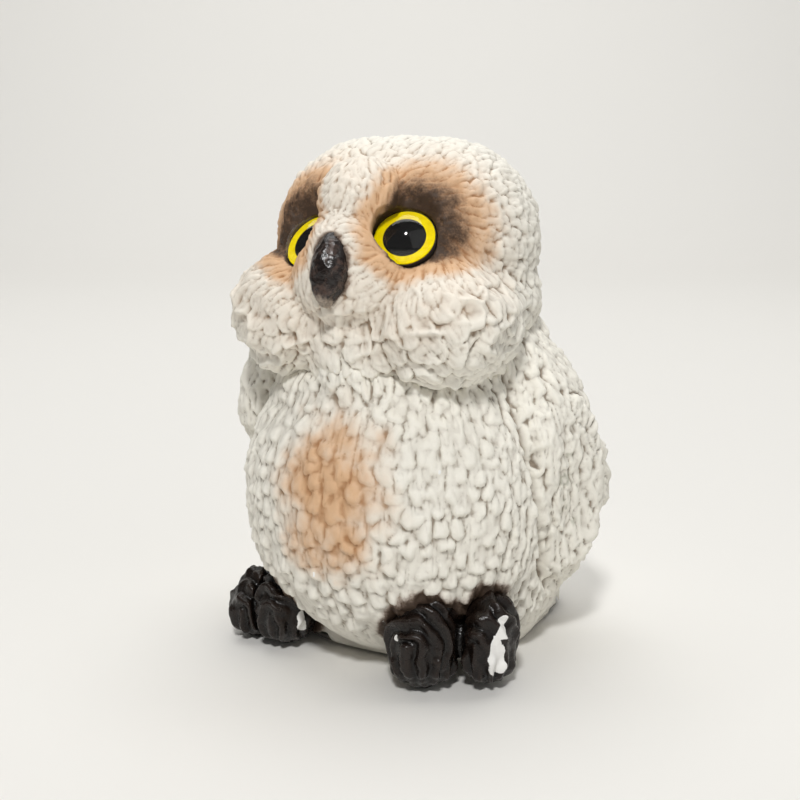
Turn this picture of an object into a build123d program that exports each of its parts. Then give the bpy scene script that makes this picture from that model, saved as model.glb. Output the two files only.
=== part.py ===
"""Snowy owl chick figurine: one plaster casting with glass eyes, set-in feet and beak, and a felt pad.

Millimetres. The owl faces -Y and looks upwards, +Z is up, +X is the owl's left side.
The origin is on the table plane, under the middle of the neck.
"""

import os
from math import cos, radians, sin

from build123d import *

os.makedirs("parts", exist_ok=True)

# driving dimensions
figure_height = 127.0
eye_diameter = 14.0
felt_thickness = 1.0
sides = {"left": 1, "right": -1}

# head
cranium_radii = (32.8, 29.0, 26.5)
cranium_centre = (0, -2, figure_height - cranium_radii[2])
nape_centre = (0, 1, 88)
nape_radii = (33.0, 26, 20)
cheek_centre = (18.4, -22, 86)
cheek_radii = (18.2, 16.5, 15)
beard_centre = (0, -22.5, 80.5)
beard_radii = (15, 14.5, 14)
muzzle_centre = (0, -29.3, 96)
muzzle_radii = (14.8, 10.4, 12.5)
bridge_centre = (0, -25.2, 111.5)
bridge_radii = (10.4, 9.2, 11.2)
face_slope = 20.0

# torso: height of each section, its centre along Y, its half width and its half depth
torso_sections = (
    (felt_thickness, 14.0, 28.5, 32.0),
    (12.0, 11.0, 36.0, 37.0),
    (26.0, 8.5, 39.5, 39.5),
    (44.0, 6.5, 39.0, 37.5),
    (62.0, 5.5, 36.0, 32.5),
    (77.0, 4.5, 32.0, 27.5),
    (90.0, 3.0, 26.0, 22.0),
)
belly_centre = (0, -6.3, 42)
belly_radii = (39.0, 37.0, 39.5)

# plinth that the casting stands on, and the swelling behind the right foot
plinth_centre_y = 14.0
plinth_size = (56.0, 64.0)
plinth_corner = 14.0
plinth_height = 12.0
haunch_centre = (-26, -3.5, 17)
haunch_radii = (13.3, 13.3, 17.3)

# folded wings, each an upper and a lower mass: centre, radii and lean; the right one sits higher
wing_masses = {
    "left": (
        ((34.0, 7, 54), (11.3, 16.3, 27.3), -12),
        ((35.0, 14, 36), (11.3, 16.8, 22.8), 10),
    ),
    "right": (
        ((36.8, -0.5, 61.5), (11.5, 15.8, 17.3), -8),
        ((34.8, 12, 38), (10.8, 17.3, 24.3), 8),
    ),
}

# glass eyes
eye_centre = (12.0, -26.5)
eye_height = {"left": 104.4, "right": 102.6}
eye_turn_out = 15.0
eye_look_up = 38.0
glass_edge = 0.8
glass_rise = 3.8
pupil_radius = 4.9
iris_margin = 0.1
enamel_thickness = 0.3
bedding_depth = 9.0
socket_clearance = 0.15
socket_mouth = 20.0
dish_offset = 9.0
dish_radii = (13.0, 13.0, 10.0)
wire_radius = 0.45
wire_leg_spacing = 3.0
wire_leg_length = 6.0

# feet: centre and radii of the inner and the outer toe, and the peg that holds the foot
toes = {
    "left": (((18.0, -28.3, 11.3), (9.3, 9.9, 12.6)), ((31.3, -20.5, 11.3), (7.1, 9.3, 11.9))),
    "right": (((-24.0, -21.0, 9.8), (8.3, 9.8, 10.6)), ((-34.0, -18.6, 8.2), (7.5, 9.9, 9.9))),
}
foot_peg_place = {"left": (21.0, -22.0, 12.0), "right": (-26.0, -18.0, 10.0)}
foot_peg_radius = 3.0
foot_peg_length = 16.0
peg_clearance = 0.15
peg_end_gap = 1.0

# beak
beak_centre = (0, -38.3, 98)
beak_radii = (4.8, 4.2, 9.2)
beak_peg_radius = 1.6
beak_peg_length = 13.0

# felt pad
felt_centre_y = 14.0
felt_size = (50.0, 58.0)
felt_corner = 11.0


def ellipsoid(centre, radii, turn=(0, 0, 0)):
    """A solid ellipsoid that joins nothing until it is added."""
    ball = scale(Sphere(1, mode=Mode.PRIVATE), by=radii, mode=Mode.PRIVATE)
    return Location(centre, turn) * ball


def mirrored(point, side):
    """The same point on the owl's left (side 1) or right (side -1)."""
    return (side * point[0], point[1], point[2])


def gaze(side):
    """The direction in which an eye looks."""
    out = radians(eye_turn_out)
    up = radians(eye_look_up)
    return Vector(side * sin(out) * cos(up), -cos(out) * cos(up), sin(up))


def eye_face(name):
    """The plane of an eye's flat back, facing the way it looks."""
    origin = (sides[name] * eye_centre[0], eye_centre[1], eye_height[name])
    return Plane(origin=origin, z_dir=gaze(sides[name]))


def eye_section(name):
    """A plane through the eye's axis: its Y runs the way the eye looks."""
    face = eye_face(name)
    return Plane(origin=face.origin, x_dir=face.x_dir, z_dir=face.x_dir.cross(face.z_dir))


def write(builder, label):
    builder.part.label = label
    export_step(builder.part, f"parts/{label}.step")


# glass eyes: clear dome, iris ring and pupil fired on its back, wire shank, and the putty it beds in
eye_radius = eye_diameter / 2
bedding_radius = eye_radius + socket_clearance

for name in sides:
    face = eye_face(name)
    section = eye_section(name)
    axis = Axis(face.origin, face.z_dir)

    with BuildPart() as dome:
        with BuildSketch(section):
            with BuildLine():
                Line((0, 0), (eye_radius, 0))
                Line((eye_radius, 0), (eye_radius, glass_edge))
                crown = glass_edge + glass_rise
                ball = (eye_radius**2 + glass_rise**2) / (2 * glass_rise)
                RadiusArc((eye_radius, glass_edge), (0, crown), -ball)
                Line((0, crown), (0, 0))
            make_face()
        revolve(axis=axis)
    write(dome, f"{name}_eye_glass")

    with BuildPart() as iris:
        with BuildSketch(face):
            Circle(eye_radius - iris_margin)
            Circle(pupil_radius, mode=Mode.SUBTRACT)
        extrude(amount=-enamel_thickness)
    write(iris, f"{name}_iris")

    with BuildPart() as pupil:
        with BuildSketch(face):
            Circle(pupil_radius)
        extrude(amount=-enamel_thickness)
    write(pupil, f"{name}_pupil")

    with BuildPart() as shank:
        with BuildLine(section):
            half = wire_leg_spacing / 2
            bend = -enamel_thickness - wire_leg_length
            Line((-half, -enamel_thickness), (-half, bend))
            ThreePointArc((-half, bend), (0, bend - half), (half, bend))
            Line((half, bend), (half, -enamel_thickness))
        with BuildSketch(face.offset(-enamel_thickness)):
            with Locations((-half, 0)):
                Circle(wire_radius)
        sweep()
    write(shank, f"{name}_eye_wire")

    with BuildPart() as bedding:
        with BuildSketch(face.offset(-enamel_thickness)):
            Circle(bedding_radius)
        extrude(amount=-bedding_depth)
        add(shank.part, mode=Mode.SUBTRACT)
    write(bedding, f"{name}_eye_putty")

# feet, each two toes that flow together, with a peg behind
for name in sides:
    with BuildPart() as foot:
        for centre, radii in toes[name]:
            add(ellipsoid(centre, radii))
        with BuildSketch(Plane(origin=foot_peg_place[name], z_dir=(0, 1, 0))):
            Circle(foot_peg_radius)
        extrude(amount=foot_peg_length)
        split(bisect_by=Plane.XY, keep=Keep.TOP)
    write(foot, f"{name}_foot")

# beak: an almond with a peg behind
beak_turn = (-face_slope, 0, 0)
with BuildPart() as beak:
    add(ellipsoid(beak_centre, beak_radii, beak_turn))
    with BuildSketch(Plane(origin=beak_centre, z_dir=(0, 1, 0))):
        Circle(beak_peg_radius)
    extrude(amount=beak_peg_length)
write(beak, "beak")

# the casting: torso, head and folded wings in one pour, cut for everything that is set into it
with BuildPart() as casting:
    for height, middle, half_width, half_depth in torso_sections:
        with BuildSketch(Plane.XY.offset(height)):
            with Locations((0, middle)):
                Ellipse(half_width, half_depth)
    loft()
    with BuildSketch(Plane.XY.offset(felt_thickness)):
        with Locations((0, plinth_centre_y)):
            RectangleRounded(*plinth_size, plinth_corner)
    extrude(amount=plinth_height)
    add(ellipsoid(belly_centre, belly_radii))
    add(ellipsoid(haunch_centre, haunch_radii))
    add(ellipsoid(nape_centre, nape_radii))
    add(ellipsoid(cranium_centre, cranium_radii))
    add(ellipsoid(beard_centre, beard_radii))
    for name, side in sides.items():
        add(ellipsoid(mirrored(cheek_centre, side), cheek_radii))
        for centre, radii, lean in wing_masses[name]:
            add(ellipsoid(mirrored(centre, side), radii, (0, side * lean, 0)))
    for name in sides:
        dish = eye_face(name)
        hollow = ellipsoid((0, 0, dish_offset), dish_radii)
        add(dish.location * hollow, mode=Mode.SUBTRACT)
    add(ellipsoid(muzzle_centre, muzzle_radii, beak_turn))
    add(ellipsoid(bridge_centre, bridge_radii, beak_turn))
    for name in sides:
        with BuildSketch(eye_face(name).offset(-enamel_thickness - bedding_depth)):
            Circle(bedding_radius)
        extrude(amount=bedding_depth + socket_mouth, mode=Mode.SUBTRACT)
    for name in sides:
        for centre, radii in toes[name]:
            add(ellipsoid(centre, radii), mode=Mode.SUBTRACT)
        with BuildSketch(Plane(origin=foot_peg_place[name], z_dir=(0, 1, 0))):
            Circle(foot_peg_radius + peg_clearance)
        extrude(amount=foot_peg_length + peg_end_gap, mode=Mode.SUBTRACT)
    add(ellipsoid(beak_centre, beak_radii, beak_turn), mode=Mode.SUBTRACT)
    with BuildSketch(Plane(origin=beak_centre, z_dir=(0, 1, 0))):
        Circle(beak_peg_radius + peg_clearance)
    extrude(amount=beak_peg_length + peg_end_gap, mode=Mode.SUBTRACT)
    split(bisect_by=Plane.XY.offset(felt_thickness), keep=Keep.TOP)
write(casting, "body_casting")

# felt pad, glued under the casting and set in from its edge
with BuildPart() as pad:
    with BuildSketch():
        with Locations((0, felt_centre_y)):
            RectangleRounded(*felt_size, felt_corner)
    extrude(amount=felt_thickness)
write(pad, "felt_pad")

box = casting.part.bounding_box()
print("casting box", box.min, box.max, "solids", len(casting.part.solids()))
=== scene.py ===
import math

import bpy
import numpy as np
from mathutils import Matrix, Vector, kdtree
from mathutils.bvhtree import BVHTree


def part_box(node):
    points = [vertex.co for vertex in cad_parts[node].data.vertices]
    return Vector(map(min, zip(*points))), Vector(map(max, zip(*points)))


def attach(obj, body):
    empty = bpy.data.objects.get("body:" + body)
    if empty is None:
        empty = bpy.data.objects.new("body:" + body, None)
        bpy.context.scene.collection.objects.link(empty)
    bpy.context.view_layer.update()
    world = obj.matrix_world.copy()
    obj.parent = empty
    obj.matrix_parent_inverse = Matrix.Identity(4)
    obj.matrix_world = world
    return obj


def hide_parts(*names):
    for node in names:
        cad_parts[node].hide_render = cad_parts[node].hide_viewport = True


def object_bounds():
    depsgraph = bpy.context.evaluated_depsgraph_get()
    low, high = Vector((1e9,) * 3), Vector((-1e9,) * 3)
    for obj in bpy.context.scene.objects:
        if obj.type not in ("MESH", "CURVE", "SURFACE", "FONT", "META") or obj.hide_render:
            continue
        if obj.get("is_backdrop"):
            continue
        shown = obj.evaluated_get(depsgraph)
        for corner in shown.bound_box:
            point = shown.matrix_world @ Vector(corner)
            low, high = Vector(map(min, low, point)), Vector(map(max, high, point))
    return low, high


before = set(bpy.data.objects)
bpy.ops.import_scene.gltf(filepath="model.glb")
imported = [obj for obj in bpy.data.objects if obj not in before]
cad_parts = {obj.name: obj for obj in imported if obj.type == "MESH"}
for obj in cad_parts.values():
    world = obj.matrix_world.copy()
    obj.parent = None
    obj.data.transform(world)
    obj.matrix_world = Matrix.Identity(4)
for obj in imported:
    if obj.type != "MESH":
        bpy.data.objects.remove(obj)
cadLow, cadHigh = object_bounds()
print("frame loaded", len(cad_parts), "nodes")

mm = 0.001
sideSigns = {"left": 1, "right": -1}
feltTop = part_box("felt_pad")[1].z / mm
fine = 1.0     # coarser sculpting while trying things
dice = np.random.default_rng(41)


def clearSelection():
    bpy.ops.object.select_all(action="DESELECT")


def pick(*objects):
    clearSelection()
    for o in objects:
        o.select_set(True)
    bpy.context.view_layer.objects.active = objects[0]


def applyModifier(obj, kind, **settings):
    pick(obj)
    modifier = obj.modifiers.new(kind.lower(), kind)
    for key, value in settings.items():
        setattr(modifier, key, value)
    bpy.ops.object.modifier_apply(modifier=modifier.name)


def settle(obj):
    # the object's place goes into its mesh
    pick(obj)
    bpy.ops.object.transform_apply(location=True, rotation=True, scale=True)


def facing(direction):
    # the turn, in degrees, that points +Z along the direction
    return [math.degrees(a) for a in direction.to_track_quat("Z", "Y").to_euler()]


def addBall(centre, radii, turn=(0, 0, 0), segments=96):
    clearSelection()
    bpy.ops.mesh.primitive_uv_sphere_add(
        segments=segments, ring_count=segments // 2, radius=1,
        location=[c * mm for c in centre], rotation=[math.radians(t) for t in turn])
    ball = bpy.context.object
    ball.scale = [r * mm for r in radii]
    settle(ball)
    return ball


def addPost(centre, radii, tall, turn=(0, 0, 0)):
    clearSelection()
    bpy.ops.mesh.primitive_cylinder_add(
        vertices=96, radius=1, depth=1,
        location=[c * mm for c in centre], rotation=[math.radians(t) for t in turn])
    post = bpy.context.object
    post.scale = (radii[0] * mm, radii[1] * mm, tall * mm)
    settle(post)
    return post


def joinMasses(masses, name):
    pick(*masses)
    bpy.ops.object.join()
    joined = bpy.context.object
    joined.name = name
    return joined


def blendMasses(obj, voxel, rounds):
    applyModifier(obj, "REMESH", mode="VOXEL", voxel_size=voxel * mm)
    applyModifier(obj, "SMOOTH", factor=0.5, iterations=rounds)


def carve(obj, tool):
    applyModifier(obj, "BOOLEAN", operation="DIFFERENCE", solver="EXACT", object=tool)
    bpy.data.objects.remove(tool)


def thin(obj, most=196000):
    # fewer triangles where the surface is plain
    obj.data.calc_loop_triangles()
    count = len(obj.data.loop_triangles)
    if count > most:
        applyModifier(obj, "DECIMATE", ratio=most / count)
    print(obj.name, count, "triangles, thinned to", min(count, most))


def keepInBox(points, squash=2.0):
    # points near the sides of the frame's box are eased back into it
    for axis in (0, 1):
        for limit, sign in ((cadHigh[axis] / mm, 1), (cadLow[axis] / mm, -1)):
            past = np.maximum(sign * (points[:, axis] - limit) + squash, 0)
            points[:, axis] += sign * (squash * np.tanh(past / squash) - past)


def mirrored(point, side):
    return (point[0] * side, point[1], point[2])


def readPoints(obj):
    points = np.empty(len(obj.data.vertices) * 3, np.float32)
    obj.data.vertices.foreach_get("co", points)
    return points.reshape(-1, 3).astype(float) / mm


def readNormals(obj):
    normals = np.empty(len(obj.data.vertices) * 3, np.float32)
    obj.data.vertex_normals.foreach_get("vector", normals)
    return normals.reshape(-1, 3).astype(float)


def writePoints(obj, points):
    obj.data.vertices.foreach_set("co", (points * mm).astype(np.float32).ravel())
    obj.data.update()


def keepNumbers(obj, name, values):
    # one number on every vertex, for the materials
    layer = obj.data.attributes.new(name, "FLOAT", "POINT")
    layer.data.foreach_set("value", values.astype(np.float32))


def keepRelief(obj, rounds, deep):
    # 0 in the creases, 1 on top of the ridges: how far each point stands out of the smoothed surface
    points, normals = readPoints(obj), readNormals(obj)
    ends = np.empty(len(obj.data.edges) * 2, np.int32)
    obj.data.edges.foreach_get("vertices", ends)
    one, other = ends.reshape(-1, 2).T
    count = np.bincount(ends, minlength=len(points))[:, None]
    smooth = points.copy()
    for _ in range(rounds):
        total = np.empty_like(points)
        for axis in range(3):
            total[:, axis] = (np.bincount(one, smooth[other, axis], len(points))
                              + np.bincount(other, smooth[one, axis], len(points)))
        smooth = 0.5 * smooth + 0.5 * total / count
    out = np.sum((points - smooth) * normals, axis=1)
    keepNumbers(obj, "relief", np.clip(0.5 + 0.5 * out / deep, 0, 1))


def ramp(values, start, end):
    t = np.clip((values - start) / (end - start), 0, 1)
    return t * t * (3 - 2 * t)


def mixed(a, b, share):
    return a * (1 - share) + b * share


def reachOf(points, centre, radii):
    # 1 on the surface of an ellipsoid, less inside it
    return np.linalg.norm((points - np.array(centre)) / np.array(radii), axis=1)


def softNoise(points, size, seed):
    # smooth lattice noise from -1 to 1, with lumps about size wide
    p = points / size + seed * 17.3
    cell = np.floor(p).astype(np.int64)
    f = p - cell
    f = f * f * (3 - 2 * f)
    total = np.zeros(len(points))
    for dx in (0, 1):
        for dy in (0, 1):
            for dz in (0, 1):
                h = (cell[:, 0] + dx) * 73856093     # large primes scramble the lattice place
                h = h ^ ((cell[:, 1] + dy) * 19349663) ^ ((cell[:, 2] + dz) * 83492791)
                h = (h ^ (h >> 13)) * 1274126177
                h = ((h ^ (h >> 16)) & 0xFFFFFF) / 0x7FFFFF - 1.0
                wx = f[:, 0] if dx else 1 - f[:, 0]
                wy = f[:, 1] if dy else 1 - f[:, 1]
                wz = f[:, 2] if dz else 1 - f[:, 2]
                total += h * wx * wy * wz
    return total


def alongSkin(flow, normals):
    # the flow laid flat on the surface, one unit long
    flat = flow - normals * np.sum(flow * normals, axis=1)[:, None]
    return flat / (np.linalg.norm(flat, axis=1)[:, None] + 1e-9)


def noiseFlow(points, size, seeds):
    # a soft push in all three directions
    return np.stack([softNoise(points, size, seed) for seed in seeds], axis=1)


def strokes(points, flow, wide, long, seed):
    # hair-like ridges drawn out along the flow: 0 in the creases between them, 1 on top
    steps = np.linspace(-long / 2, long / 2, 7)
    drawn = sum(softNoise(points + flow * step, wide, seed) for step in steps)
    return np.tanh(1.3 * np.abs(drawn) / (drawn.std() + 1e-9))


def crumple(points, size, seed):
    # sharp wandering ridges with flatter skin between them: 1 on the ridges
    bent = points + 0.35 * size * noiseFlow(points, size * 0.8, (seed + 1, seed + 2, seed + 3))
    return 1 - np.tanh(2.4 * np.abs(softNoise(bent, size, seed)))


def treeOf(points):
    tree = kdtree.KDTree(len(points))
    for i, p in enumerate(points):
        tree.insert(p, i)
    tree.balance()
    return tree


def wavySurface(points, normals, wave, size):
    # the points, their normals, a tree of them, an empty relief, and the points pushed about:
    # the pushed ones shape the feathers, so that outlines waver
    push = noiseFlow(points, size, (11, 12, 13))
    return points, normals, treeOf(points), np.zeros(len(points)), points + push * wave


def scatterSpots(points, tree, allowed, spacing):
    # spots no nearer to each other than the spacing where they are
    free = allowed.copy()
    spots = []
    for i in dice.permutation(np.nonzero(allowed)[0]):
        if free[i]:
            spots.append(i)
            near = [f[1] for f in tree.find_range(points[i], spacing[i])]
            free[near] = False
    return np.array(spots, int)


def pressFeather(surface, middle, normal, tip, wide, long, tall, lip, bluntness):
    # one overlapping feather: low at its root, high at its rounded tip, with its rim lifted by lip
    points, normals, tree, relief, wavy = surface
    near = np.array([f[1] for f in tree.find_range(points[middle], 0.5 * max(long, wide) + 1.2)], int)
    across = np.cross(normal, tip)
    away = wavy[near] - wavy[middle]
    u, v = away @ tip / long, away @ across / wide
    roundPart = min(0.5, wide / long / 2)
    past = np.clip((u - 0.5 + roundPart) / roundPart, 0, 1)
    outline = np.sqrt(1 - past ** 2) + 1e-6
    r = np.abs(2 * v) / outline
    inside = (np.abs(u) < 0.5) & (r < 1) & (normals[near] @ normal > 0.2)
    u, r, past, near = u[inside], r[inside], past[inside], near[inside]
    edge = np.maximum(r, past)
    rise = 0.05 + 0.95 * (u + 0.5) ** 0.65
    top = (1 - edge ** bluntness) * (1 - lip + lip * edge ** 2)
    relief[near] = np.maximum(relief[near], tall * rise * top)


def layFeathers(surface, spots, flow, wide, long, tall, lip, swing, bluntness):
    # wide to bluntness are numbers for each spot; swing is how far a feather may turn, in degrees
    normals = surface[1]
    for k, i in enumerate(spots):
        n = normals[i]
        tip = flow[i] - n * (flow[i] @ n)
        tip /= np.linalg.norm(tip) + 1e-9
        turn = math.radians(swing[k]) * dice.normal()
        tip = tip * math.cos(turn) + np.cross(n, tip) * math.sin(turn)
        size = dice.uniform(0.85, 1.2)
        pressFeather(surface, i, n, tip, wide[k] * size, long[k] * size,
                     tall[k] * dice.uniform(0.7, 1.2), lip[k], bluntness[k])


# the eyes: where they sit and which way they look
eyeLook = {
    "turnOut": 15, "lookUp": 38, "enamelThick": 0.3,
    "glassRadius": 7.0, "glassEdge": 0.8, "glassRise": 3.8,
}


def gazeOf(side):
    out, up = math.radians(eyeLook["turnOut"]), math.radians(eyeLook["lookUp"])
    return Vector((side * math.sin(out) * math.cos(up), -math.cos(out) * math.cos(up), math.sin(up)))


gaze = {name: gazeOf(side) for name, side in sideSigns.items()}
eyePlace = {}
for name in sideSigns:
    low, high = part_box(f"{name}_pupil")
    eyePlace[name] = (low + high) / 2 / mm + gaze[name] * eyeLook["enamelThick"] / 2
domeRadius = (eyeLook["glassRadius"] ** 2 + eyeLook["glassRise"] ** 2) / (2 * eyeLook["glassRise"])
domeMiddle = eyeLook["glassEdge"] + eyeLook["glassRise"] - domeRadius


headShape = {
    "middle": {
        "cranium": ((0, -2, 100.2), (32.2, 28.6, 26.0)),
        "nape": ((0, 1, 88), (32.6, 25.5, 19.5)),
        "beard": ((0, -22, 80.0), (14.5, 14.0, 13.6)),
    },
    "pairs": {
        "crown": ((8.0, -1.5, 102.0), (24.3, 26.5, 24.0)),
        "cheek": ((17.8, -21.2, 85.5), (17.4, 15.6, 15.2)),
        "jaw": ((19.5, -12, 85), (14.5, 17, 15.5)),
    },
    "face": {
        "muzzle": ((0, -29.3, 96), (14.4, 9.9, 12.2), (-20, 0, 0)),
        "nose": ((0, -30, 101), (10.0, 9.3, 10.0), (-12, 0, 0)),
        "bridge": ((0, -25.2, 111.5), (10.0, 8.8, 10.8), (-20, 0, 0)),
    },
    "bowlOffset": 9.0, "bowlRadii": (13.0, 13.0, 10.0),
    "socketRadius": 7.2, "socketDeep": 9.4, "socketVoxel": 0.22,
    "lidRadii": (6.5, 5.9), "lidTall": 26, "glassGap": 0.2,
    "blendVoxel": 0.9, "voxel": 0.39,
}


def buildHead():
    s = headShape
    skull = [addBall(*mass) for mass in s["middle"].values()]
    for side in sideSigns.values():
        skull += [addBall(mirrored(centre, side), radii) for centre, radii in s["pairs"].values()]
    head = joinMasses(skull, "head")
    blendMasses(head, s["blendVoxel"], 12)
    for name in sideSigns:
        bowl = addBall(eyePlace[name] + gaze[name] * s["bowlOffset"], s["bowlRadii"], facing(gaze[name]))
        carve(head, bowl)
    head = joinMasses([head] + [addBall(*mass) for mass in s["face"].values()], "head")
    blendMasses(head, s["blendVoxel"], 4)
    for name in sideSigns:
        place, look, turn = eyePlace[name], gaze[name], facing(gaze[name])
        rim, edge = s["socketRadius"], eyeLook["glassEdge"]
        deep = s["socketDeep"] + edge
        socket = joinMasses([
            addPost(place + look * (edge - deep / 2), (rim, rim), deep, turn),
            addBall(place + look * edge, (rim, rim, eyeLook["glassRise"] + s["glassGap"]), turn),
            addPost(place + look * s["lidTall"] / 2, s["lidRadii"], s["lidTall"], turn)], "socket")
        blendMasses(socket, s["socketVoxel"], 0)
        carve(head, socket)
    blendMasses(head, s["voxel"] * fine, 2)
    return head


headFeathers = {
    "furWide": 1.6, "furLong": 5.5, "furTall": 0.35,
    "cheekWide": 6.2, "cheekLong": 6.0, "cheekTall": 2.0,
    "crownWide": 3.6, "crownLong": 4.8, "crownTall": 1.2,
    "furReach": (14, 22), "sink": 0.8, "gap": 0.58,
    "strokeWide": 1.0, "strokeLong": 5.0,
    "faceStroke": 0.70, "cheekStroke": 0.40, "crownStroke": 0.45,
    "foldWide": 4.6, "foldLong": 9.0, "foldDeep": 0.8,
    "crumpleSize": 6.5, "crumpleTall": 1.5, "swirl": 0.6,
}


def aroundEyes(points):
    # distance from the nearer eye, and the way the down grows: out from both eyes
    left, right = (points - np.array(eyePlace[name]) for name in ("left", "right"))
    farLeft, farRight = np.linalg.norm(left, axis=1), np.linalg.norm(right, axis=1)
    flow = left / (farLeft ** 3)[:, None] + right / (farRight ** 3)[:, None]
    return np.minimum(farLeft, farRight), flow / (np.linalg.norm(flow, axis=1)[:, None] + 1e-9)


def paintHead(head, points, hair):
    # airbrushed tan round the eyes, dark paint above them and round the beak, and the socket walls made
    # dark, as dark paint and painted shade in the recess;
    # top is 1 above an eye and towards its outer side, and 0 below it
    tan, sootAndShade = np.zeros(len(points)), np.zeros(len(points))
    patchy = 0.5 * softNoise(points, 3.0, 41) + 0.5 * softNoise(points, 1.3, 42)
    for name, side in sideSigns.items():
        g = np.array(gaze[name])
        away = points - np.array(eyePlace[name])
        ahead = away @ g
        flat = away - ahead[:, None] * g
        spread = np.linalg.norm(flat, axis=1) + 1e-6
        upward = (flat @ np.array((side * 0.62, 0.1, 0.75))) / spread
        reach = np.linalg.norm(away, axis=1)
        top = ramp(upward, -0.2, 0.95)
        tan = np.maximum(tan, 1 - ramp(reach + 1.6 * patchy, mixed(9.0, 14.0, top), mixed(17.0, 29.5, top)))
        tan = np.maximum(tan, 0.3 * (1 - ramp(reach + 3 * patchy, 20, 40)))
        smudge = 1 - ramp(reach + 1.3 * patchy, mixed(5.8, 8.0, top), mixed(8.8, 23.0, top))
        sootAndShade = np.maximum(sootAndShade, smudge * mixed(0.6, 1.0, hair))
        # the socket walls are made fully dark: dark paint, and painted shade in the recess
        inside = (1 - ramp(spread, 7.4, 8.0)) * (1 - ramp(ahead, 2.0, 4.5))
        sootAndShade = np.maximum(sootAndShade, inside)
    low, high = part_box("beak")
    middle = np.array(((low.x + high.x) / 2, low.y, (low.z + high.z) / 2)) / mm
    radii = np.array(((high.x - low.x) / 2, 6 * mm, (high.z - low.z) / 2)) / mm
    byBeak = reachOf(points, middle + np.array((0, 0, 0.8)), radii + 1.2) + 0.10 * patchy
    sootAndShade = np.maximum(sootAndShade, 0.8 * (1 - ramp(byBeak, 0.92, 1.22)))
    keepNumbers(head, "tan", tan)
    keepNumbers(head, "sootAndShade", sootAndShade)


def featherHead(head):
    f = headFeathers
    points, normals = readPoints(head), readNormals(head)
    surface = wavySurface(points, normals, 1.2, 3.2)
    tree = surface[2]
    away, flow = aroundEyes(points)
    x, y, z = points.T
    beard = (1 - ramp(np.abs(x), 6, 14)) * (1 - ramp(z, 84, 93)) * (1 - ramp(y, -22, -12))
    flow[:, 2] -= ramp(y, 0, 18) * 1.2 + beard * 1.5
    flow += 0.22 * noiseFlow(points, 5, (51, 52, 53))
    coarse = ramp(away, *f["furReach"])
    flow += f["swirl"] * (1 - coarse)[:, None] * np.cross(flow, normals)
    cheek = (1 - ramp(z, 91, 99)) * (1 - ramp(y, -8, 6)) * coarse * (1 - 0.6 * beard)
    wide = mixed(f["furWide"], mixed(f["crownWide"], f["cheekWide"], cheek), coarse)
    long = mixed(f["furLong"], mixed(f["crownLong"], f["cheekLong"], cheek), coarse)
    tall = mixed(f["furTall"], mixed(f["crownTall"], f["cheekTall"], cheek), coarse)
    inSocket = 1 - ramp(away, 7.6, 10)
    tall *= 1 - 0.85 * inSocket
    spots = scatterSpots(points, tree, np.ones(len(points), bool), f["gap"] * np.sqrt(wide * long))
    lip = mixed(0.0, 0.5, cheek)
    swing = mixed(9, mixed(22, 32, cheek), coarse)
    bluntness = mixed(4.0, mixed(3.5, 7.0, cheek), coarse)
    layFeathers(surface, spots, flow, wide[spots], long[spots], tall[spots],
                lip[spots], swing[spots], bluntness[spots])
    skinFlow = alongSkin(flow, normals)
    hair = mixed(strokes(points, skinFlow, f["strokeWide"], f["strokeLong"], 5),
                 strokes(points, skinFlow, f["strokeWide"] * 1.9, f["strokeLong"] * 1.3, 6), 0.4)
    amount = mixed(f["faceStroke"], mixed(f["crownStroke"], f["cheekStroke"], cheek), coarse)
    amount *= 1 - 0.8 * inSocket
    folds = strokes(points, skinFlow, f["foldWide"], f["foldLong"], 7)
    foldShare = mixed(0.25, mixed(0.35, 1, cheek), coarse) * (1 - inSocket)
    relief = surface[3] + amount * (hair - 0.5) + f["foldDeep"] * (folds - 0.7) * foldShare
    relief += 0.10 * softNoise(points, 1.2, 2) * (1 - inSocket)
    ruffled = mixed(0.15, 1, cheek) * coarse
    relief += f["crumpleTall"] * (crumple(points, f["crumpleSize"], 71) - 0.4) * ruffled
    writePoints(head, points + normals * (relief - f["sink"] * mixed(0.3, 1, coarse))[:, None])
    keepRelief(head, 16, 0.34)
    paintHead(head, points, hair)
    thin(head)
    print("head feathers", len(spots))


bodyShape = {
    "masses": {
        "belly": ((0, -6.0, 40.5), (38.4, 36.4, 41.0)),
        "shoulders": ((0, 6, 66), (34.5, 27.5, 33.5)),
        "rump": ((0, 10, 32), (39.0, 37.5, 45)),
        "chest": ((0, -8.5, 60), (31, 26.5, 26)),
        "bib": ((0, -20, 71), (13, 15, 18)),
        "haunch": ((-26, -3.5, 17), (12.8, 12.8, 16.8)),
    },
    "plinthMiddle": (0, 14), "plinthSize": (56, 64), "plinthTall": 12, "plinthCorner": 14,
    # centre, radii and lean of each mass of the folded wings
    "wings": {
        "left": (((33.6, 7, 53), (11, 16, 26), -11),
                 ((34.6, 14, 36), (11, 16.5, 22.5), 10)),
        "right": (((-36.4, -0.5, 61.5), (11.2, 15.5, 17), 8),
                  ((-34.5, 12, 38), (10.5, 17, 24), -8),
                  ((-35.6, 6, 49), (10.6, 16, 18), -2)),
    },
    "blendVoxel": 1.0, "voxel": 0.49,
}


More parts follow.
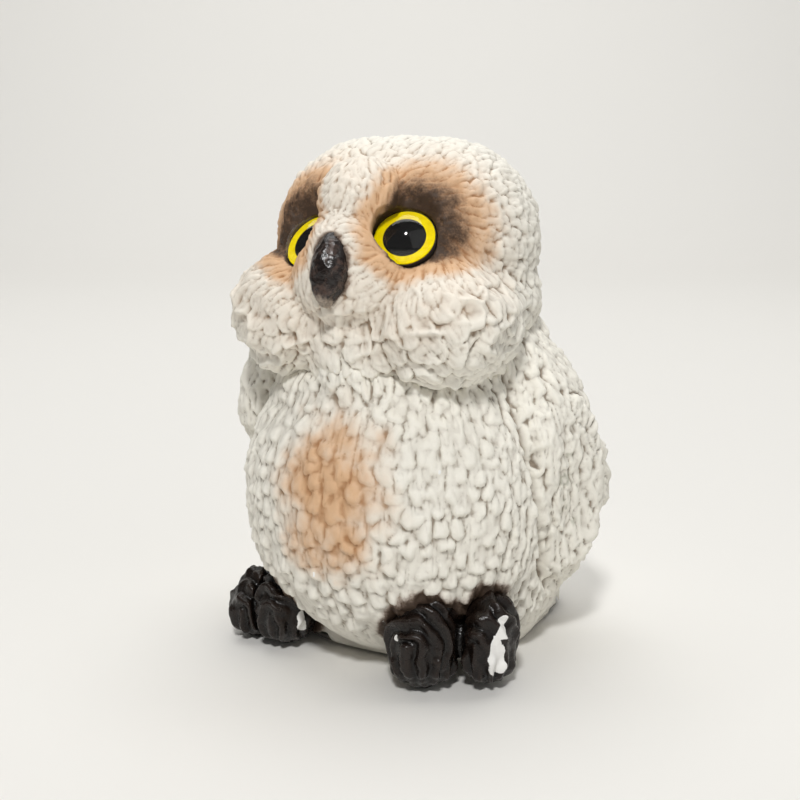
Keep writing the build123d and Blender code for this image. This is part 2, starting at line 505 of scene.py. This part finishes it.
def addPlinth():
    s = bodyShape
    clearSelection()
    middle = (*s["plinthMiddle"], s["plinthTall"] / 2)
    bpy.ops.mesh.primitive_cube_add(size=1, location=[c * mm for c in middle])
    plinth = bpy.context.object
    plinth.scale = (s["plinthSize"][0] * mm, s["plinthSize"][1] * mm, s["plinthTall"] * mm)
    settle(plinth)
    bpy.ops.object.mode_set(mode="EDIT")
    bpy.ops.mesh.select_all(action="DESELECT")
    bpy.ops.object.mode_set(mode="OBJECT")
    for edge in plinth.data.edges:
        ends = [plinth.data.vertices[v].co for v in edge.vertices]
        edge.select = abs(ends[0].z - ends[1].z) > mm
    bpy.ops.object.mode_set(mode="EDIT")
    bpy.ops.mesh.select_mode(type="EDGE")
    bpy.ops.mesh.bevel(offset=s["plinthCorner"] * mm, segments=10)
    bpy.ops.object.mode_set(mode="OBJECT")
    return plinth


def buildBody():
    s = bodyShape
    masses = [addBall(*mass) for mass in s["masses"].values()] + [addPlinth()]
    for name in sideSigns:
        masses += [addBall(centre, radii, (0, lean, 0)) for centre, radii, lean in s["wings"][name]]
    body = joinMasses(masses, "body")
    blendMasses(body, s["blendVoxel"], 5)
    blendMasses(body, s["voxel"] * fine, 2)
    return body


bodyFeathers = {
    "rowPitch": 4.3, "columnPitch": 4.5, "rowHeights": (14, 70), "rowBearings": (-40, 62),
    "rowStagger": 3.7, "rowAxisY": 4,
    "scallopWide": 4.1, "scallopLong": 4.6, "scallopTall": 1.6,
    "tuftWide": 2.8, "tuftLong": 7.0, "tuftTall": 1.35,
    "wingWide": 4.8, "wingLong": 6.5, "wingTall": 1.8,
    "vaneWide": 2.4, "vaneLong": 12, "vaneTall": 1.1,
    "backWide": 6.5, "backLong": 7.5, "backTall": 1.2,
    "sink": 0.8, "gap": 0.58,
    "strokeWide": 1.15, "strokeLong": 6.0, "scallopStroke": 0.55, "tuftStroke": 0.8,
    "foldWide": 5.0, "foldLong": 12.0, "foldDeep": 1.0, "crumpleSize": 7.0, "crumpleTall": 0.8,
    "grooveDeep": 2.6, "groovePlace": (1.10, 0.06),
    "cup": ((44.0, 1, 42), (9, 9.5, 18)), "cupDeep": 2.8, "rimTall": 1.9,
    "tanSpot": ((0, -41, 46.5), (17, 22, 21.5)),
}


def onWing(points):
    # how far from the nearest wing mass each point is: 1 on its surface
    best = np.full(len(points), 9.0)
    for name in sideSigns:
        for centre, radii, lean in bodyShape["wings"][name]:
            turn = math.radians(lean)
            p = points - np.array(centre)
            across = p[:, 0] * math.cos(turn) - p[:, 2] * math.sin(turn)
            upright = p[:, 0] * math.sin(turn) + p[:, 2] * math.cos(turn)
            local = np.stack([across, p[:, 1], upright], axis=1)
            best = np.minimum(best, reachOf(local, (0, 0, 0), radii))
    return best


def scallopRows(tree, obj):
    # spots in staggered rows over the breast and belly, found by looking in from outside
    f = bodyFeathers
    skin = BVHTree.FromObject(obj, bpy.context.evaluated_depsgraph_get())
    first, last = f["rowBearings"]
    spots = []
    for row, z in enumerate(np.arange(*f["rowHeights"], f["rowPitch"])):
        bearing = first + f["rowStagger"] * (row % 2)
        while bearing < last:
            angle = math.radians(bearing)
            outward = Vector((math.sin(angle), -math.cos(angle), 0))
            start = Vector((0, f["rowAxisY"], z + dice.normal() * 0.8)) + outward * 70
            hit = skin.ray_cast(start * mm, -outward)[0]
            if hit is None:
                bearing += 5
            else:
                spots.append(tree.find(hit / mm)[1])
                far = (hit / mm - Vector((0, f["rowAxisY"], z))).length
                bearing += math.degrees(f["columnPitch"] / far) * dice.uniform(0.8, 1.25)
    return np.array(spots, int)


def featherBody(body):
    f = bodyFeathers
    points, normals = readPoints(body), readNormals(body)
    surface = wavySurface(points, normals, 1.05, 3.2)
    tree = surface[2]
    x, y, z = points.T
    wingReach = onWing(points)
    wing = 1 - ramp(wingReach, 1.02, 1.13)
    aheadOfWing = (1 - ramp(y, 10, 20)) * ramp(z, 12, 22) * (1 - 0.85 * ramp(z, 58, 70))
    groove = np.exp(-((wingReach - f["groovePlace"][0]) / f["groovePlace"][1]) ** 2) * aheadOfWing
    cupMiddle, cupRadii = f["cup"]
    cupReach = reachOf(np.abs(points * (1, 0, 0)) + points * (0, 1, 1), cupMiddle, cupRadii)
    cup = (1 - ramp(cupReach, 0.25, 1.0)) * wing
    outward = np.stack([np.sign(x) * (np.abs(x) - cupMiddle[0]) / cupRadii[0],
                        (y - cupMiddle[1]) / cupRadii[1],
                        (z - cupMiddle[2]) / cupRadii[2]], axis=1)
    rim = np.exp(-((cupReach - 1.2) / 0.22) ** 2) * wing * ramp(y, 0, 6)
    bearing = np.degrees(np.arctan2(x, f["rowAxisY"] - y))
    low = wing * (1 - ramp(z, 40, 56))
    flow = np.zeros_like(points)
    flow[:, 2] = -1
    flow[:, 1] += 0.25 * wing + 1.1 * low * ramp(y, 4, 20)
    flow = mixed(flow, outward, np.clip(rim * 1.4, 0, 1)[:, None])
    flow += 0.2 * noiseFlow(points, 6, (54, 55, 56))
    front = ramp(bearing, -46, -32) * (1 - ramp(bearing, 50, 62)) * (1 - ramp(z, 66, 72)) * (1 - wing)
    back = ramp(np.abs(bearing), 95, 120) * (1 - wing)

    def sized(kind):
        onBody = mixed(f["tuft" + kind], f["back" + kind], back)
        onWings = mixed(f["wing" + kind], f["vane" + kind], low)
        return mixed(onBody, onWings, wing)

    wide, long = sized("Wide"), sized("Long")
    tall = sized("Tall") * (1 - 0.75 * front) * (1 - 0.6 * cup) * ramp(z, 3, 12)
    spots = scatterSpots(points, tree, np.ones(len(points), bool), f["gap"] * np.sqrt(wide * long))
    curl = np.maximum(back, wing * (1 - low))[spots]
    layFeathers(surface, spots, flow, wide[spots], long[spots], tall[spots], mixed(0.1, 0.35, curl),
                mixed(12, 18, curl), mixed(4.0, 3.0, curl))
    rows = scallopRows(tree, body)
    rows = rows[(front[rows] > 0.3) & (dice.uniform(size=len(rows)) > 0.14)]
    many = np.ones(len(rows))
    layFeathers(surface, rows, flow, many * f["scallopWide"], many * f["scallopLong"],
                many * f["scallopTall"], many * 0, many * 14, many * 2.2)
    skinFlow = alongSkin(flow, normals)
    hair = mixed(strokes(points, skinFlow, f["strokeWide"], f["strokeLong"], 15),
                 strokes(points, skinFlow, f["strokeWide"] * 2, f["strokeLong"] * 1.3, 16), 0.4)
    folds = strokes(points, skinFlow, f["foldWide"], f["foldLong"], 17)
    foldShare = mixed(1, 0.3, np.maximum(front, back)) * ramp(z, 3, 12)
    amount = mixed(f["tuftStroke"], f["scallopStroke"], np.maximum(front, back))
    amount = amount * mixed(1, 2.0, rim) * ramp(z, 1, 6)
    relief = surface[3] + amount * (hair - 0.5) + f["foldDeep"] * (folds - 0.7) * foldShare
    relief += rim * f["rimTall"] - groove * f["grooveDeep"] - cup * f["cupDeep"]
    ruffled = mixed(1, 0.3, front) * ramp(z, 3, 12)
    relief += f["crumpleTall"] * (crumple(points, f["crumpleSize"], 81) - 0.4) * ruffled
    relief += (0.4 * softNoise(points, 8, 3) + 0.08 * softNoise(points, 1.3, 4)) * ramp(z, 1, 6)
    moved = points + normals * ((relief - f["sink"]) * ramp(z, 2, 9))[:, None]
    moved[:, 2] = np.maximum(moved[:, 2], feltTop)
    keepInBox(moved)
    writePoints(body, moved)
    keepRelief(body, 16, 0.40)
    specks = ramp(softNoise(points, 1.1, 61) + softNoise(points, 3.0, 62), 0.55, 0.9)
    keepNumbers(body, "moss", cup * specks)
    paintBody(body, points)
    thin(body)
    print("body feathers", len(spots) + len(rows))


def paintBody(body, points):
    # tan on the breast, and dark overspray round the toes
    patchy = 0.6 * softNoise(points, 6.0, 43) + 0.4 * softNoise(points, 2.2, 44)
    tan = 1 - ramp(reachOf(points, *bodyFeathers["tanSpot"]) + 0.32 * patchy, 0.15, 1.40)
    sootAndShade = np.zeros(len(points))
    for toes in toeShape["toes"].values():
        for centre, radii in toes:
            near = reachOf(points, centre, np.array(radii) + 1.2) + 0.13 * patchy
            sootAndShade = np.maximum(sootAndShade, 0.95 * (1 - ramp(near, 0.90, 1.28)))
    keepNumbers(body, "tan", tan)
    keepNumbers(body, "sootAndShade", sootAndShade)


toeShape = {
    "toes": {
        "left": (((18.0, -28.3, 11.3), (9.0, 9.6, 12.3)),
                 ((31.3, -20.5, 11.3), (6.8, 9.0, 11.6))),
        "right": (((-24.0, -21.0, 9.8), (8.0, 9.5, 10.3)),
                  ((-34.0, -18.6, 8.2), (7.2, 9.6, 9.6))),
    },
    "furrowPitch": 3.3, "furrowDeep": 1.4, "archHeight": 0.1, "voxel": 0.36,
    # patches where the paint has come off: middle and radii
    "chips": (((36.0, -26.2, 9.6), (2.2, 2.6, 5.0)),
              ((36.7, -24.6, 15.6), (1.6, 2.0, 2.2)),
              ((36.6, -23.6, 18.0), (1.2, 1.4, 1.1)),
              ((15.0, -37.3, 14.5), (0.7, 1.0, 0.9)),
              ((-17.0, -25.5, 7.5), (1.1, 2.0, 3.2))),
}


def buildFoot(name):
    s = toeShape
    toes = [(np.array(centre), np.array(radii)) for centre, radii in s["toes"][name]]
    foot = joinMasses([addBall(*toe) for toe in toes], f"{name}Foot")
    blendMasses(foot, s["voxel"] * fine, 3)
    points, normals = readPoints(foot), readNormals(foot)
    fit = np.array([reachOf(points, *toe) for toe in toes])
    nearer = fit.argmin(axis=0)
    ridges = np.zeros(len(points))
    for k, (centre, radii) in enumerate(toes):
        local = (points - centre) / radii
        across = np.arctan2(local[:, 0], -local[:, 1] + 0.25)
        above = np.maximum(local[:, 2] - s["archHeight"], 0) * 1.45
        arch = np.sqrt(across ** 2 + above ** 2) * radii[0]
        arch += 1.3 * softNoise(points, 5.5, 20 + k) + 0.5 * softNoise(points, 2.2, 26 + k)
        wave = 0.5 + 0.5 * np.cos(arch * 2 * math.pi / s["furrowPitch"] + k)
        ridges = np.where(nearer == k, wave, ridges)
    ridges = ridges * mixed(0.35, 1, ramp(softNoise(points, 3.5, 23), -0.6, 0.3))
    ridges = ridges * ramp(points[:, 2], 0, 4)
    seam = ramp(np.abs(fit[0] - fit[1]), 0, 0.14)
    relief = (ridges + 0.3) * seam * s["furrowDeep"] + 0.12 * softNoise(points, 1.2, 24)
    moved = points + normals * (relief - s["furrowDeep"])[:, None]
    moved[:, 2] = np.maximum(moved[:, 2], 0)
    writePoints(foot, moved)
    chip = np.zeros(len(points))
    for centre, radii in s["chips"]:
        chip = np.maximum(chip, 1.5 - reachOf(points, centre, radii) - 0.22 * softNoise(points, 1.3, 25))
    keepRelief(foot, 12, 0.30)
    keepNumbers(foot, "chip", np.clip(chip, 0, 1))
    return foot


beakShape = {"radii": (4.6, 4.0, 9.0), "slope": -20, "voxel": 0.25, "set": 5.0}


def buildBeak():
    s = beakShape
    low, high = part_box("beak")
    middle = np.array(((low.x + high.x) / 2, low.y, (low.z + high.z) / 2)) / mm
    middle = middle + np.array((0, s["set"], 0))
    beak = addBall((0, 0, 0), s["radii"], segments=64)
    beak.name = "beakHorn"
    blendMasses(beak, s["voxel"], 1)
    points, normals = readPoints(beak), readNormals(beak)
    tallness = points[:, 2] / s["radii"][2]
    points[:, 0] *= 1 - 0.42 * np.clip(-tallness, 0, 1) ** 2 - 0.25 * np.clip(tallness, 0, 1) ** 1.5
    keel = (1 - np.abs(points[:, 0]) / s["radii"][0]) * (points[:, 1] < 0)
    points[:, 1] -= keel * (1 - tallness ** 2)
    points += normals * (0.30 * softNoise(points, 2.8, 31) + 0.22 * softNoise(points, 1.2, 32))[:, None]
    turn = math.radians(s["slope"])
    turned = points.copy()
    turned[:, 1] = points[:, 1] * math.cos(turn) - points[:, 2] * math.sin(turn)
    turned[:, 2] = points[:, 1] * math.sin(turn) + points[:, 2] * math.cos(turn)
    turned += middle
    keepInBox(turned, squash=1.0)
    writePoints(beak, turned)
    keepNumbers(beak, "tip", ramp(-tallness, 0.55, 0.95))
    return beak


def buildGlass(name):
    e = eyeLook
    clearSelection()
    bpy.ops.mesh.primitive_uv_sphere_add(segments=96, ring_count=96, radius=domeRadius * mm,
                                         location=(0, 0, domeMiddle * mm))
    dome = bpy.context.object
    dome.name = f"{name}EyeGlass"
    settle(dome)
    bpy.ops.object.mode_set(mode="EDIT")
    bpy.ops.mesh.select_all(action="SELECT")
    bpy.ops.mesh.bisect(plane_co=(0, 0, e["glassEdge"] * mm), plane_no=(0, 0, 1),
                        clear_inner=True, use_fill=True)
    bpy.ops.mesh.select_all(action="DESELECT")
    bpy.ops.object.mode_set(mode="OBJECT")
    for face in dome.data.polygons:
        face.select = face.normal.z < -0.9
    bpy.ops.object.mode_set(mode="EDIT")
    down = {"value": (0, 0, -e["glassEdge"] * mm)}
    bpy.ops.mesh.extrude_region_move(TRANSFORM_OT_translate=down)
    bpy.ops.object.mode_set(mode="OBJECT")
    dome.rotation_euler = gaze[name].to_track_quat("Z", "Y").to_euler()
    dome.location = eyePlace[name] * mm
    settle(dome)
    bpy.ops.object.shade_smooth_by_angle(angle=math.radians(40))
    return dome


head = buildHead()
print("head", len(head.data.vertices), "vertices")
featherHead(head)
body = buildBody()
print("body", len(body.data.vertices), "vertices")
featherBody(body)
feet = {name: buildFoot(name) for name in sideSigns}
beak = buildBeak()
glasses = {name: buildGlass(name) for name in sideSigns}
print("toes, beak and glass")


class Strand:
    # one socket of a material: sums on it add Math nodes
    def __init__(self, paint, socket):
        self.paint, self.socket = paint, socket

    def maths(self, operation, *values):
        return self.paint.node("ShaderNodeMath", {"operation": operation}, dict(enumerate(values)))

    def __add__(self, other):
        return self.maths("ADD", self, other)

    def __sub__(self, other):
        return self.maths("SUBTRACT", self, other)

    def __rsub__(self, other):
        return self.maths("SUBTRACT", other, self)

    def __mul__(self, other):
        return self.maths("MULTIPLY", self, other)

    def __pow__(self, other):
        return self.maths("POWER", self, other)

    __radd__ = __add__
    __rmul__ = __mul__

    def ramped(self, start, end, low=0.0, high=1.0):
        inputs = {"Value": self, "From Min": start, "From Max": end, "To Min": low, "To Max": high}
        return self.paint.node("ShaderNodeMapRange", {"interpolation_type": "SMOOTHSTEP"}, inputs)


class Paint:
    # a new material and its nodes
    def __init__(self, name):
        self.material = bpy.data.materials.new(name)
        self.material.use_nodes = True
        self.tree = self.material.node_tree
        self.tree.nodes.clear()

    def node(self, kind, settings=None, inputs=None, out=0):
        made = self.tree.nodes.new(kind)
        for key, value in (settings or {}).items():
            setattr(made, key, value)
        for key, value in (inputs or {}).items():
            if isinstance(value, Strand):
                self.tree.links.new(value.socket, made.inputs[key])
            else:
                made.inputs[key].default_value = value
        return Strand(self, made.outputs[out]) if len(made.outputs) else None

    def number(self, name):
        return self.node("ShaderNodeAttribute", {"attribute_name": name}, out="Fac")

    def place(self):
        return self.node("ShaderNodeTexCoord", out="Object")

    def noise(self, size, detail=3, rough=0.55):
        settings = {"Vector": self.place(), "Scale": 1 / (size * mm), "Detail": detail, "Roughness": rough}
        return self.node("ShaderNodeTexNoise", {}, settings, "Fac")

    def blend(self, below, above, share):
        return self.node("ShaderNodeMix", {"data_type": "RGBA"}, {0: share, 6: below, 7: above}, out=2)

    def bump(self, height, strength, deep):
        settings = {"Height": height, "Strength": strength, "Distance": deep * mm}
        return self.node("ShaderNodeBump", {}, settings)

    def finish(self, **inputs):
        named = {key.replace("_", " "): value for key, value in inputs.items()}
        shader = self.node("ShaderNodeBsdfPrincipled", {}, named)
        self.node("ShaderNodeOutputMaterial", {}, {"Surface": shader})
        return self.material


plasterLook = {
    "white": (0.88, 0.85, 0.765, 1), "wornTipAndShadedLows": (0.74, 0.705, 0.63, 1), "creaseGrimeAndShade": (0.22, 0.17, 0.12, 1),
    "tan": (0.68, 0.405, 0.21, 1), "shadedTan": (0.36, 0.17, 0.07, 1),
    "brown": (0.20, 0.105, 0.06, 1), "sootAndShade": (0.042, 0.025, 0.015, 1),
    "moss": (0.16, 0.17, 0.10, 1), "chip": (0.93, 0.92, 0.90, 1),
}


def plasterPaint():
    c = plasterLook
    p = Paint("plaster")
    relief, tan, sootAndShade, moss = p.number("relief"), p.number("tan"), p.number("sootAndShade"), p.number("moss")
    coarse, medium, tiny = p.noise(9), p.noise(2.2, 4), p.noise(0.5, 2)
    # the creases are darkened: some grime lies in them, and the rest is painted shade
    hollow = 1 - (relief + (medium - 0.5) * 0.3).ramped(-0.04, 0.42)
    # the ridge tops are painted whiter and the lower skin a duller tone, as painted light and shade, with a
    # coarse blotchy tone mixed in
    colour = p.blend(c["wornTipAndShadedLows"], c["white"], (relief + (coarse - 0.5) * 0.5).ramped(0.28, 0.72))
    colour = p.blend(colour, c["creaseGrimeAndShade"], hollow * 0.9)
    tanShare = (tan + (medium - 0.5) * 0.5 * tan + (coarse - 0.5) * 0.5 * tan).ramped(0.05, 1.0)
    colour = p.blend(colour, c["tan"], tanShare * 0.9)
    # the tan is painted darker in its creases, as painted shade
    colour = p.blend(colour, c["shadedTan"], tanShare * (1 - relief.ramped(0.05, 0.62)) * 0.75)
    # the dark overspray and the dark socket walls, speckled at the edges and a little heavier in the
    # hollows than on the ridges, which is painted shade
    sprayAndShade = sootAndShade + ((tiny - 0.5) * 0.5 + (medium - 0.5) * 0.6 - relief * 0.18) * sootAndShade
    colour = p.blend(colour, c["brown"], sprayAndShade.ramped(0.05, 0.75) * 0.85)
    colour = p.blend(colour, c["sootAndShade"], sprayAndShade.ramped(0.28, 0.80) * 0.93)
    colour = p.blend(colour, c["moss"], moss * 0.6)
    chips = p.noise(3.2, 2).ramped(0.735, 0.75) * relief.ramped(0.6, 0.85)
    colour = p.blend(colour, c["chip"], chips)
    rough = 0.82 - sprayAndShade.ramped(0.4, 0.9) * 0.3
    skin = p.noise(0.9, 4, 0.65) * 0.7 + tiny * 0.3
    return p.finish(Base_Color=colour, Roughness=rough, Specular_IOR_Level=0.3,
                    Normal=p.bump(skin, 0.5, 0.25))


toeLook = {
    "dark": (0.003, 0.002, 0.0015, 1), "brown": (0.017, 0.010, 0.007, 1),
    "bare": (0.88, 0.87, 0.84, 1),
}


def toePaint():
    p = Paint("toePaint")
    relief, chip = p.number("relief"), p.number("chip")
    medium, tiny = p.noise(2.4, 4), p.noise(0.6, 3)
    # the ridges are painted a lighter brown than the furrows, a painted highlight on them, blotched by
    # noise
    colour = p.blend(toeLook["dark"], toeLook["brown"], (relief * 0.65 + medium * 0.5).ramped(0.3, 0.95))
    bare = (chip + (tiny - 0.5) * 0.25).ramped(0.50, 0.54)
    colour = p.blend(colour, toeLook["bare"], bare)
    rough = 0.16 + medium * 0.22 + bare * 0.5
    return p.finish(Base_Color=colour, Roughness=rough, Specular_IOR_Level=0.35,
                    Normal=p.bump(medium * 0.6 + tiny * 0.4, 0.6, 0.35))


beakLook = {
    "dark": (0.010, 0.006, 0.005, 1), "brown": (0.085, 0.05, 0.038, 1),
    "wornTipAndShadedLows": (0.40, 0.33, 0.26, 1),
}


def beakPaint():
    p = Paint("beakPaint")
    medium, tip = p.noise(2.0, 4, 0.6), p.number("tip")
    colour = p.blend(beakLook["dark"], beakLook["brown"], medium.ramped(0.42, 0.75))
    colour = p.blend(colour, beakLook["wornTipAndShadedLows"], (tip + (medium - 0.5) * 1.6).ramped(0.5, 1.1) * 0.8)
    return p.finish(Base_Color=colour, Roughness=0.16 + medium * 0.22,
                    Normal=p.bump(p.noise(1.1, 3), 0.6, 0.4))


def enamelPaint(name, one, two, rough):
    p = Paint(name)
    colour = p.blend(one, two, p.noise(1.6, 3).ramped(0.35, 0.65))
    return p.finish(Base_Color=colour, Roughness=rough, Specular_IOR_Level=0.0)


def glassPaint():
    # clear to look and light through, with only its gloss added, stronger at a slant
    p = Paint("eyeGlass")
    gloss = p.node("ShaderNodeBsdfGlossy", {}, {"Color": (1, 1, 1, 1), "Roughness": 0.06})
    clear = p.node("ShaderNodeBsdfTransparent")
    slant = p.node("ShaderNodeLayerWeight", {}, {"Blend": 0.5}, "Facing")
    share = slant ** 5 * 0.1 + 0.04
    mix = p.node("ShaderNodeMixShader", {}, {0: share, 1: clear, 2: gloss})
    p.node("ShaderNodeOutputMaterial", {}, {"Surface": mix})
    return p.material


def plainPaint(name, one, two, size, rough, metal=0.0):
    p = Paint(name)
    grain = p.noise(size, 4)
    colour = p.blend(one, two, grain.ramped(0.35, 0.65))
    return p.finish(Base_Color=colour, Roughness=rough, Metallic=metal,
                    Normal=p.bump(grain, 0.4, size * 0.4))


def dress(piece, material, slotName=None):
    piece.data.materials.clear()
    piece.data.materials.append(material)
    if slotName:
        piece.data.polygons.foreach_set("use_smooth", [True] * len(piece.data.polygons))
        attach(piece, "root")


plaster, toes, horn, clearGlass = plasterPaint(), toePaint(), beakPaint(), glassPaint()
yellow = enamelPaint("yellowEnamel", (1.0, 0.80, 0.0, 1), (0.92, 0.70, 0.0, 1), 0.5)
black = enamelPaint("blackEnamel", (0.003, 0.003, 0.003, 1), (0.006, 0.006, 0.006, 1), 0.25)
# near black: the putty in the thin gap round each glass is coloured as dark socket paint and as painted
# shade in that gap
putty = plainPaint("putty", (0.020, 0.014, 0.011, 1), (0.035, 0.024, 0.018, 1), 1.0, 0.9)
steel = plainPaint("steelWire", (0.5, 0.5, 0.5, 1), (0.4, 0.4, 0.4, 1), 0.3, 0.4, 1.0)
felt = plainPaint("felt", (0.30, 0.28, 0.25, 1), (0.40, 0.38, 0.34, 1), 0.4, 0.95)
for piece in (head, body):
    dress(piece, plaster, "plaster")
    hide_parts("body_casting")
for name in sideSigns:
    dress(feet[name], toes, "foot_paint")
    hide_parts(f"{name}_foot")
    dress(glasses[name], clearGlass, "eye_glass")
    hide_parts(f"{name}_eye_glass")
    dress(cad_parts[f"{name}_iris"], yellow)
    dress(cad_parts[f"{name}_pupil"], black)
    dress(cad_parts[f"{name}_eye_wire"], steel)
    dress(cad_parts[f"{name}_eye_putty"], putty)
dress(beak, horn, "beak_paint")
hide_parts("beak")
dress(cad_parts["felt_pad"], felt)
print("materials")


stageLook = {
    # the camera, in degrees and mm
    "azimuth": 27.8, "elevation": 12, "distance": 325.5, "lens": 58.5, "target": (-2.4, -1.3, 61.4),
    # the backdrop and the lamps, in metres: each lamp's place, size, power and what it points at
    "floorSize": 5.0, "wallAway": 1.3, "wallTall": 1.6, "wallCurve": 0.5, "paper": (0.80, 0.785, 0.75, 1),
    "lamps": {
        "key": ((0.27, -0.66, 0.80), 0.11, 6.0, (0, 0, 0.06)),
        "side": ((0.75, -0.32, 0.50), 0.9, 1.1, (0, 0, 0.06)),
        "wall": ((-0.2, 0.35, 1.3), 1.2, 14.5, (-0.65, 1.2, 0.2)),
    },
    "sky": (0.88, 0.88, 0.86, 1), "skyStrength": 0.14,
}


def addCamera():
    s = stageLook
    az, el = math.radians(s["azimuth"]), math.radians(s["elevation"])
    back = Vector((math.sin(az) * math.cos(el), -math.cos(az) * math.cos(el), math.sin(el)))
    camera = bpy.data.objects.new("camera", bpy.data.cameras.new("camera"))
    bpy.context.scene.collection.objects.link(camera)
    camera.data.lens = s["lens"]
    camera.data.sensor_width = 36
    camera.data.clip_start = 0.01
    camera.location = (Vector(s["target"]) + back * s["distance"]) * mm
    camera.rotation_mode = "QUATERNION"
    camera.rotation_quaternion = (-back).to_track_quat("-Z", "Y")
    bpy.context.scene.camera = camera


def addBackdrop():
    # one pale sheet: a floor that curves up into a wall behind the object
    s = stageLook
    clearSelection()
    middleY = s["wallAway"] - s["floorSize"] / 2
    bpy.ops.mesh.primitive_plane_add(size=s["floorSize"], location=(0, middleY, 0))
    sheet = bpy.context.object
    sheet.name = "backdrop"
    settle(sheet)
    for vertex in sheet.data.vertices:
        vertex.select = vertex.co.y > middleY
    for edge in sheet.data.edges:
        edge.select = all(sheet.data.vertices[v].select for v in edge.vertices)
    for face in sheet.data.polygons:
        face.select = False
    bpy.ops.object.mode_set(mode="EDIT")
    bpy.ops.mesh.select_mode(type="EDGE")
    bpy.ops.mesh.extrude_region_move(TRANSFORM_OT_translate={"value": (0, 0, s["wallTall"])})
    bpy.ops.object.mode_set(mode="OBJECT")
    applyModifier(sheet, "BEVEL", width=s["wallCurve"], segments=14, limit_method="ANGLE")
    sheet.rotation_euler.z = math.radians(s["azimuth"])
    sheet.data.polygons.foreach_set("use_smooth", [True] * len(sheet.data.polygons))
    paper = Paint("paper")
    sheet.data.materials.append(paper.finish(Base_Color=s["paper"], Roughness=0.9))
    sheet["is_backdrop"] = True


def addLights():
    s = stageLook
    for name, (place, size, power, aim) in s["lamps"].items():
        lamp = bpy.data.lights.new(name, "AREA")
        lamp.energy, lamp.size = power, size
        light = bpy.data.objects.new(name, lamp)
        bpy.context.scene.collection.objects.link(light)
        light.location = place
        light.rotation_mode = "QUATERNION"
        light.rotation_quaternion = (Vector(aim) - light.location).to_track_quat("-Z", "Y")
    world = bpy.data.worlds.new("studio")
    bpy.context.scene.world = world
    world.use_nodes = True
    world.node_tree.nodes["Background"].inputs["Color"].default_value = s["sky"]
    world.node_tree.nodes["Background"].inputs["Strength"].default_value = s["skyStrength"]
    bpy.context.scene.view_settings.view_transform = "Standard"


addCamera()
addBackdrop()
addLights()
print("camera, backdrop and lights")

low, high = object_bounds()
